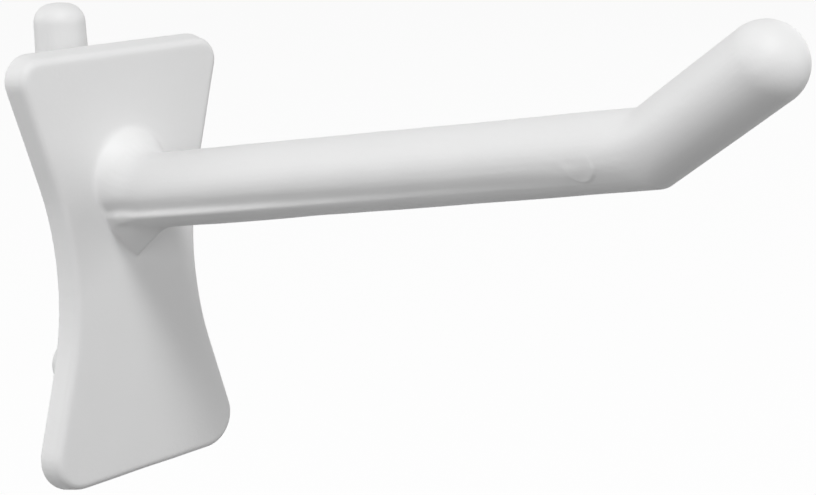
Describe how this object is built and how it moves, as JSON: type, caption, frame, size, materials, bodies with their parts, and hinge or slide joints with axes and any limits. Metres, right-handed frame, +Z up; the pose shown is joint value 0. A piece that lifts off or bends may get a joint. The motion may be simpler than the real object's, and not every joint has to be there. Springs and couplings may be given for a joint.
{
  "type": "pegboard hook",
  "caption": "Moulded plastic hook for a perforated board: a waisted plate with a bent peg and a straight peg behind it and a round upturned arm in front.",
  "frame": {"origin": "on the plate's back face, midway between the bent peg and the straight peg, on the middle plane", "axes": "+Y into the board, square to the plate's back face; +Z up; the arm points along -Y and rises a little"},
  "size_m": [0.0254, 0.0916, 0.0514],
  "materials": {
    "white_plastic": "smooth satin-gloss moulded plastic, white"
  },
  "bodies": {
    "root": {"hook": "white_plastic"}
  },
  "joints": []
}
